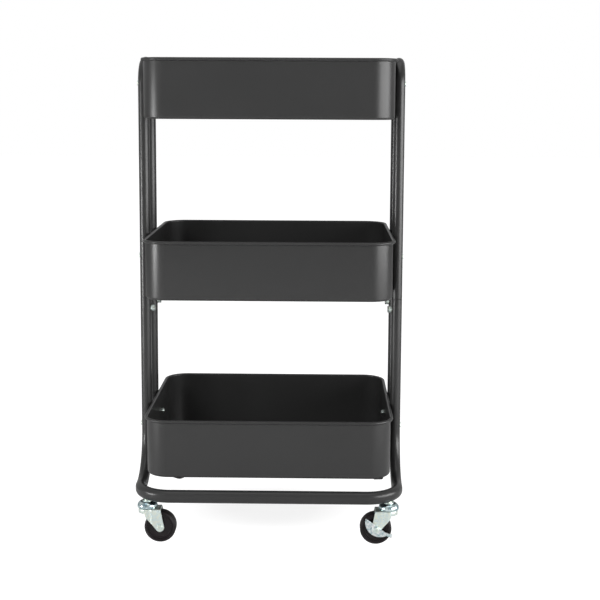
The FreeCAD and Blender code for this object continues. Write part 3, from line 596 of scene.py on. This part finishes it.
def bent_tube(bm, sizes, start, heading, route, levels):
    """Carries the oval along runs and quarter bends, with rounded and closed ends."""
    shrink = 1 - 2 * sizes.seam_lip / sizes.width
    reach = sizes.dimple_radius * DIMPLE_MARGIN
    ring = oval_ring(bm, sizes, start)
    bmesh.ops.contextual_create(bm, geom=only(bmesh.types.BMEdge, ring))
    resize(bm, ring, shrink)
    ring = push(bm, ring, heading * sizes.seam_lip)
    resize(bm, ring, 1 / shrink)
    place = start + heading * sizes.seam_lip
    last = len(route) - 1
    for number, step in enumerate(route):
        if step[0] == "run":
            distance = step[1] - (sizes.seam_lip if number in (0, last) else 0)
            ring = straight_run(bm, ring, heading, distance, levels, reach)
            place = place + heading * distance
            continue
        centre = place + step[2].cross(heading) * step[1]
        ring = turn_round(bm, ring, centre, step[2], QUARTER, step[3])
        turn = Matrix.Rotation(QUARTER, 3, step[2])
        place = centre + turn @ (place - centre)
        heading = turn @ heading
    ring = push(bm, ring, heading * sizes.seam_lip)
    resize(bm, ring, shrink)
    bmesh.ops.contextual_create(bm, geom=only(bmesh.types.BMEdge, ring))


def press_dimple(bm, sizes, side, post, level):
    """Moves a post's outer face onto the sphere of a pressed screw dimple."""
    dish = (sizes.dimple_radius ** 2 + sizes.dimple_depth ** 2) / (2 * sizes.dimple_depth)
    centre = Vector((post.x + side * (sizes.width / 2 - sizes.dimple_depth + dish), post.y, level))
    for vert in bm.verts:
        away = vert.co - centre
        flat = dish ** 2 - away.y ** 2 - away.z ** 2
        if flat > 0 and 0 > side * away.x > -math.sqrt(flat):
            vert.co.x = centre.x - side * math.sqrt(flat)


def screw_level(level):
    low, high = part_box(level + "_tray_screws")
    return (low.z + high.z) / 2


def build_upper_frame(node, side, sizes, material):
    low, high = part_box(node)
    front = Vector(((low.x + high.x) / 2, low.y + sizes.depth / 2, low.z))
    rear = Vector((front.x, high.y - sizes.depth / 2, low.z))
    rise = high.z - sizes.depth / 2 - sizes.arch - low.z
    over = ("bend", sizes.arch, -AXIS_X, ARCH_STEPS)
    level_run = rear.y - front.y - 2 * sizes.arch
    route = (("run", rise), over, ("run", level_run), over, ("run", rise))
    levels = [screw_level("upper"), screw_level("middle")]
    bm = bmesh.new()
    bent_tube(bm, sizes, front, AXIS_Z, route, levels)
    for post in (front, rear):
        for level in levels:
            press_dimple(bm, sizes, side, post, level)
    finish_tube(bm, node, material)


def build_lower_frame(node, end, sizes, material):
    low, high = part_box(node)
    post_y = high.y - sizes.depth / 2 if end < 0 else low.y + sizes.depth / 2
    bar_y = low.y + sizes.width / 2 if end < 0 else high.y - sizes.width / 2
    left = Vector((low.x + sizes.width / 2, post_y, high.z))
    right = Vector((high.x - sizes.width / 2, post_y, high.z))
    drop = high.z - low.z - sizes.depth / 2 - sizes.foot
    side_run = abs(bar_y - post_y) - sizes.corner - sizes.foot
    bar_run = right.x - left.x - 2 * sizes.corner
    foot_out = ("bend", sizes.foot, AXIS_X * end, FOOT_STEPS)
    foot_in = ("bend", sizes.foot, -AXIS_X * end, FOOT_STEPS)
    corner = ("bend", sizes.corner, -AXIS_Z * end, BASE_CORNER_STEPS)
    route = (("run", drop), foot_out, ("run", side_run), corner, ("run", bar_run), corner,
             ("run", side_run), foot_in, ("run", drop))
    bm = bmesh.new()
    bent_tube(bm, sizes, left, -AXIS_Z, route, [screw_level("lower")])
    press_dimple(bm, sizes, -1, left, screw_level("lower"))
    press_dimple(bm, sizes, 1, right, screw_level("lower"))
    finish_tube(bm, node, material)


def finish_tube(bm, node, material):
    piece = link_new(node + "_tube", bm, material)
    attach(piece, FRAME_BODY)
    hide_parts(node)


class CART_OT_frame_tubes(bpy.types.Operator):
    """Model the bent frame tubes with their seams and dimples"""
    bl_idname = "cart.frame_tubes"
    bl_label = "Frame tubes"

    def execute(self, context):
        sizes = context.scene.cart_tube
        material = coat("tube_coat_satin", context.scene.cart_coat.tube, gloss=0.31, sheen=0.4)
        build_upper_frame("left_upper_frame", -1, sizes, material)
        build_upper_frame("right_upper_frame", 1, sizes, material)
        build_lower_frame("front_lower_frame", -1, sizes, material)
        build_lower_frame("rear_lower_frame", 1, sizes, material)
        return {"FINISHED"}


def plain_steel(metal):
    return plating("plain_steel", metal.steel, metal.steel, gloss=0.4, patch=120.0)


class CART_OT_fasteners(bpy.types.Operator):
    """Finish the screws, nuts, washers, bolts, bushes and sleeves"""
    bl_idname = "cart.fasteners"
    bl_label = "Fasteners"

    def execute(self, context):
        metal = context.scene.cart_metal
        zinc = plating("fastener_zinc", metal.zinc, metal.zinc_warm, gloss=0.3, patch=300.0)
        dark = coat("bush_black", context.scene.cart_coat.bush, gloss=0.5)
        for level in LEVELS:
            dress(level + "_tray_screws", zinc, FINE_EDGE)
            dress(level + "_tray_nuts", zinc, EDGE)
            dress(level + "_tray_spacers", dark, EDGE)
        dress("joint_bolts", zinc, BOLT_EDGE)
        dress("joint_washers", zinc, FINE_EDGE)
        paint(zinc, "caster_inserts")
        paint(plain_steel(metal), "joint_sleeves")
        return {"FINISHED"}


def on_axle(bm, corner):
    """Moves a piece that was turned about Z onto a wheel's axle."""
    joint = JOINTS[corner + "_wheel_spin"]
    turn = AXIS_Z.rotation_difference(Vector(joint["axis"])).to_matrix().to_4x4()
    place = Matrix.Translation(Vector(joint["pos_m"]))
    bmesh.ops.transform(bm, matrix=place @ turn, verts=bm.verts)


def build_wheel(corner, sizes, tyre_material, core_material):
    """One wheel: the tyre with round shoulders and the recessed core with its boss."""
    low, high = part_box(corner + "_tyre")
    radius = (high.z - low.z) / 2
    half = sizes.width / 2
    inner = radius - sizes.tyre
    rib_start = sizes.rib + sizes.rib_height
    rib_end = sizes.rib - sizes.rib_height
    side = [(radius, half), (rib_start, half), (sizes.rib, half + sizes.rib_height),
            (rib_end, half), (inner, half)]
    bm = turned(side + [(away, -height) for away, height in reversed(side)], TYRE_STEPS)
    shoulders = [edge for edge in bm.edges if edge.calc_face_angle() > CORNER_ANGLE
                 and edge.verts[0].co.xy.length > rib_start]
    bmesh.ops.bevel(bm, geom=shoulders, offset=sizes.shoulder, segments=SHOULDER_STEPS,
                    profile=0.5, affect="EDGES", material=-1)
    on_axle(bm, corner)
    tyre = link_new(corner + "_tyre_ring", bm, tyre_material)
    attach(tyre, corner + "_wheel")
    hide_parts(corner + "_tyre")
    face = half - sizes.recess / 2
    web = face - sizes.recess
    boss = sizes.boss_width / 2
    bore = sizes.bore
    edge = inner - sizes.groove
    ring = edge - sizes.ring
    side = [(bore, boss), (sizes.boss, boss), (sizes.boss, web), (ring, web), (ring, face),
            (edge, face), (edge, web), (inner, web)]
    bm = turned(side + [(away, -height) for away, height in reversed(side)], CORE_STEPS)
    soften(bm, EDGE)
    on_axle(bm, corner)
    core = link_new(corner + "_core", bm, core_material)
    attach(core, corner + "_wheel")
    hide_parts(corner + "_hub")


class CART_OT_wheels(bpy.types.Operator):
    """Model the four wheels with their tyres and recessed cores"""
    bl_idname = "cart.wheels"
    bl_label = "Wheels"

    def execute(self, context):
        colours = context.scene.cart_wheel
        tyre = coat("tyre_dark", colours.tyre, gloss=0.5, sheen=0.3)
        core = coat("core_dark", colours.core, gloss=0.4, sheen=0.3)
        for corner in CORNERS:
            build_wheel(corner, context.scene.cart_wheel_sizes, tyre, core)
        return {"FINISHED"}


class CART_OT_casters(bpy.types.Operator):
    """Finish the forks, races, axles and brake levers"""
    bl_idname = "cart.casters"
    bl_label = "Casters"

    def execute(self, context):
        metal = context.scene.cart_metal
        zinc = plating("caster_zinc", metal.zinc, metal.zinc_warm, gloss=0.3, patch=240.0)
        race = plating("race_zinc", metal.race, metal.zinc, gloss=0.18, patch=180.0)
        mottled = plating("mottled_zinc", metal.zinc_dull, metal.zinc_pale, gloss=0.28,
                          patch=210.0)
        for corner in CORNERS:
            dress(corner + "_fork", zinc, EDGE, fold=FORK_FOLD)
            dress(corner + "_race_cup", race, FINE_EDGE, segments=3)
            dress(corner + "_axle", zinc, EDGE)
            paint(zinc, corner + "_stem")
            paint(plain_steel(metal), corner + "_balls", corner + "_axle_sleeve")
            if corner + "_brake_lever" in NODES:
                dress(corner + "_brake_lever", mottled, EDGE)
                dress(corner + "_brake_rivet", mottled, EDGE)
        return {"FINISHED"}


def by_ray(nodes, links, ray, shown, otherwise):
    """Mixes two shaders: one for rays of a kind, such as the camera's, and one for the rest."""
    path = nodes.new("ShaderNodeLightPath")
    mix = nodes.new("ShaderNodeMixShader")
    links.new(path.outputs[ray], mix.inputs["Fac"])
    links.new(otherwise, mix.inputs[1])
    links.new(shown, mix.inputs[2])
    return mix.outputs["Shader"]


def build_floor():
    """A wide white floor: for the camera it glows, with a painted shadow where the glow dims round
    the cart, and its faint diffuse part keeps the real soft shadow.
    """
    bm = bmesh.new()
    bmesh.ops.create_grid(bm, x_segments=1, y_segments=1, size=FLOOR_SIZE)
    material = bpy.data.materials.new("studio_floor")
    material.use_nodes = True
    nodes, links = material.node_tree.nodes, material.node_tree.links
    nodes.clear()
    bright, soft, faint = (nodes.new("ShaderNodeBsdfDiffuse") for _ in range(3))
    bright.inputs["Color"].default_value = FLOOR_MIRRORED
    soft.inputs["Color"].default_value = FLOOR_BOUNCED
    faint.inputs["Color"].default_value = FLOOR_SEEN
    # Painted shadow: the camera's glow is weaker inside an oval round the cart and rises to full
    # white beyond it
    place = nodes.new("ShaderNodeTexCoord")
    across = nodes.new("ShaderNodeVectorMath")
    across.operation = "DIVIDE"
    across.inputs[1].default_value = PAINTED_SHADOW_REACH
    links.new(place.outputs["Object"], across.inputs[0])
    away = nodes.new("ShaderNodeVectorMath")
    away.operation = "LENGTH"
    links.new(across.outputs["Vector"], away.inputs[0])
    rise = map_range(nodes, PAINTED_SHADOW_FADE, PAINTED_SHADOW_GLOW)
    rise.interpolation_type = "SMOOTHSTEP"
    links.new(away.outputs["Value"], rise.inputs["Value"])
    glow = nodes.new("ShaderNodeEmission")
    links.new(rise.outputs["Result"], glow.inputs["Strength"])
    both = nodes.new("ShaderNodeAddShader")
    links.new(faint.outputs["BSDF"], both.inputs[0])
    links.new(glow.outputs["Emission"], both.inputs[1])
    gleam = nodes.new("ShaderNodeEmission")
    gleam.inputs["Strength"].default_value = FLOOR_GLEAM
    mirrored = nodes.new("ShaderNodeAddShader")
    links.new(bright.outputs["BSDF"], mirrored.inputs[0])
    links.new(gleam.outputs["Emission"], mirrored.inputs[1])
    mix = by_ray(nodes, links, "Is Glossy Ray", mirrored.outputs["Shader"], soft.outputs["BSDF"])
    mix = by_ray(nodes, links, "Is Camera Ray", both.outputs["Shader"], mix)
    out = nodes.new("ShaderNodeOutputMaterial")
    links.new(mix, out.inputs["Surface"])
    link_new("studio_floor", bm, material)


def build_lamps(context, settings):
    """A narrow lamp at the left, a wide one at the right, one above, and two without glare.

    Each has its place, its aim, its size, its power, its spread in degrees and whether it shows
    in mirrored rays."""
    lamps = (
        ("lamp_left", (-2.25, -1.2, 0.2), (-0.15, -0.1, 0.3), (0.8, 0.52),
         settings.left_light, 180.0, True),
        ("lamp_right", (2.35, -1.2, 0.65), (0.15, -0.1, 0.4), (2.8, 1.25),
         settings.right_light, 180.0, True),
        ("lamp_top", (0, -0.3, 2.8), (0, 0, 0.4), (2.2, 2.2),
         settings.top_light, 180.0, True),
        ("lamp_fill", (-1.1, -2.0, 1.2), (0.1, 0.1, 0.4), (1.0, 0.8),
         settings.fill_light, 180.0, False),
        ("lamp_rear", (0.5, 2.2, 0.6), (0, 0.1, 0.45), (0.8, 0.8),
         settings.rear_light, 60.0, False),
    )
    for name, place, aim, size, power, spread, glare in lamps:
        lamp = bpy.data.lights.new(name, "AREA")
        lamp.shape = "RECTANGLE"
        lamp.size, lamp.size_y = size
        lamp.energy = power
        lamp.spread = math.radians(spread)
        holder = bpy.data.objects.new(name, lamp)
        holder.location = place
        view = Vector(aim) - Vector(place)
        holder.rotation_euler = view.to_track_quat("-Z", "Y").to_euler()
        holder.visible_camera = False
        holder.visible_glossy = glare
        context.scene.collection.objects.link(holder)


def build_world(context, settings):
    """Even light, plain white for the camera and a paler grey for mirrored rays."""
    world = bpy.data.worlds.new("studio")
    world.use_nodes = True
    context.scene.world = world
    nodes, links = world.node_tree.nodes, world.node_tree.links
    nodes.clear()
    light, white, mirrored = (nodes.new("ShaderNodeBackground") for _ in range(3))
    for background in (light, white, mirrored):
        background.inputs["Color"].default_value = WHITE
    mirrored.inputs["Strength"].default_value = settings.mirrored
    place = nodes.new("ShaderNodeTexCoord")
    parts = nodes.new("ShaderNodeSeparateXYZ")
    front = map_range(nodes, FRONT_FADE, (settings.ambient_behind, settings.ambient))
    above = map_range(nodes, ABOVE_FADE, (1.0, settings.ambient_above))
    dimmed = nodes.new("ShaderNodeMath")
    dimmed.operation = "MULTIPLY"
    links.new(place.outputs["Generated"], parts.inputs["Vector"])
    links.new(parts.outputs["Y"], front.inputs["Value"])
    links.new(parts.outputs["Z"], above.inputs["Value"])
    links.new(front.outputs["Result"], dimmed.inputs[0])
    links.new(above.outputs["Result"], dimmed.inputs[1])
    links.new(dimmed.outputs["Value"], light.inputs["Strength"])
    mix = by_ray(nodes, links, "Is Glossy Ray", mirrored.outputs["Background"],
                 light.outputs["Background"])
    mix = by_ray(nodes, links, "Is Camera Ray", white.outputs["Background"], mix)
    out = nodes.new("ShaderNodeOutputWorld")
    links.new(mix, out.inputs["Surface"])


def place_camera(context, settings):
    lens = bpy.data.cameras.new("camera")
    lens.lens = settings.lens
    lens.sensor_width = SENSOR_WIDTH
    lens.shift_y = settings.rise
    camera = bpy.data.objects.new("camera", lens)
    turn = (Matrix.Rotation(-settings.yaw, 4, "Z")
            @ Matrix.Rotation(QUARTER - settings.pitch, 4, "X")
            @ Matrix.Rotation(settings.roll, 4, "Z"))
    camera.matrix_world = Matrix.Translation(settings.camera_place) @ turn
    context.scene.collection.objects.link(camera)
    context.scene.camera = camera


class CART_OT_stage(bpy.types.Operator):
    """Set up the floor, the lamps and the camera"""
    bl_idname = "cart.stage"
    bl_label = "Stage"

    def execute(self, context):
        settings = context.scene.cart_stage
        build_floor()
        build_lamps(context, settings)
        build_world(context, settings)
        place_camera(context, settings)
        context.scene.view_settings.view_transform = "Standard"
        return {"FINISHED"}


class CART_PT_panel(bpy.types.Panel):
    """The cart's pieces and their sizes"""
    bl_idname = "CART_PT_panel"
    bl_label = "Tray Cart"
    bl_space_type = "VIEW_3D"
    bl_region_type = "UI"
    bl_category = "Tray Cart"

    def draw(self, context):
        for operator in OPERATORS:
            self.layout.operator(operator.bl_idname)
        for name in GROUPS:
            column = self.layout.column(align=True)
            settings = getattr(context.scene, name)
            for size in settings.bl_rna.properties:
                if not size.is_readonly and size.identifier != "name":
                    column.prop(settings, size.identifier)


GROUPS = {
    "cart_tray": TraySizes,
    "cart_tube": TubeSizes,
    "cart_coat": CoatColours,
    "cart_metal": MetalColours,
    "cart_wheel_sizes": WheelSizes,
    "cart_wheel": WheelColours,
    "cart_stage": StageSettings,
}
OPERATORS = (CART_OT_trays, CART_OT_frame_tubes, CART_OT_fasteners, CART_OT_wheels,
             CART_OT_casters, CART_OT_stage)


def register():
    for settings in GROUPS.values():
        bpy.utils.register_class(settings)
    for name, settings in GROUPS.items():
        setattr(bpy.types.Scene, name, PointerProperty(type=settings))
    for operator in OPERATORS:
        bpy.utils.register_class(operator)
    bpy.utils.register_class(CART_PT_panel)


def unregister():
    bpy.utils.unregister_class(CART_PT_panel)
    for operator in reversed(OPERATORS):
        bpy.utils.unregister_class(operator)
    for name in GROUPS:
        delattr(bpy.types.Scene, name)
    for settings in reversed(list(GROUPS.values())):
        bpy.utils.unregister_class(settings)


def main():
    register()
    for operator in OPERATORS:
        category, name = operator.bl_idname.split(".")
        getattr(getattr(bpy.ops, category), name)()


if __name__ == "__main__":
    main()
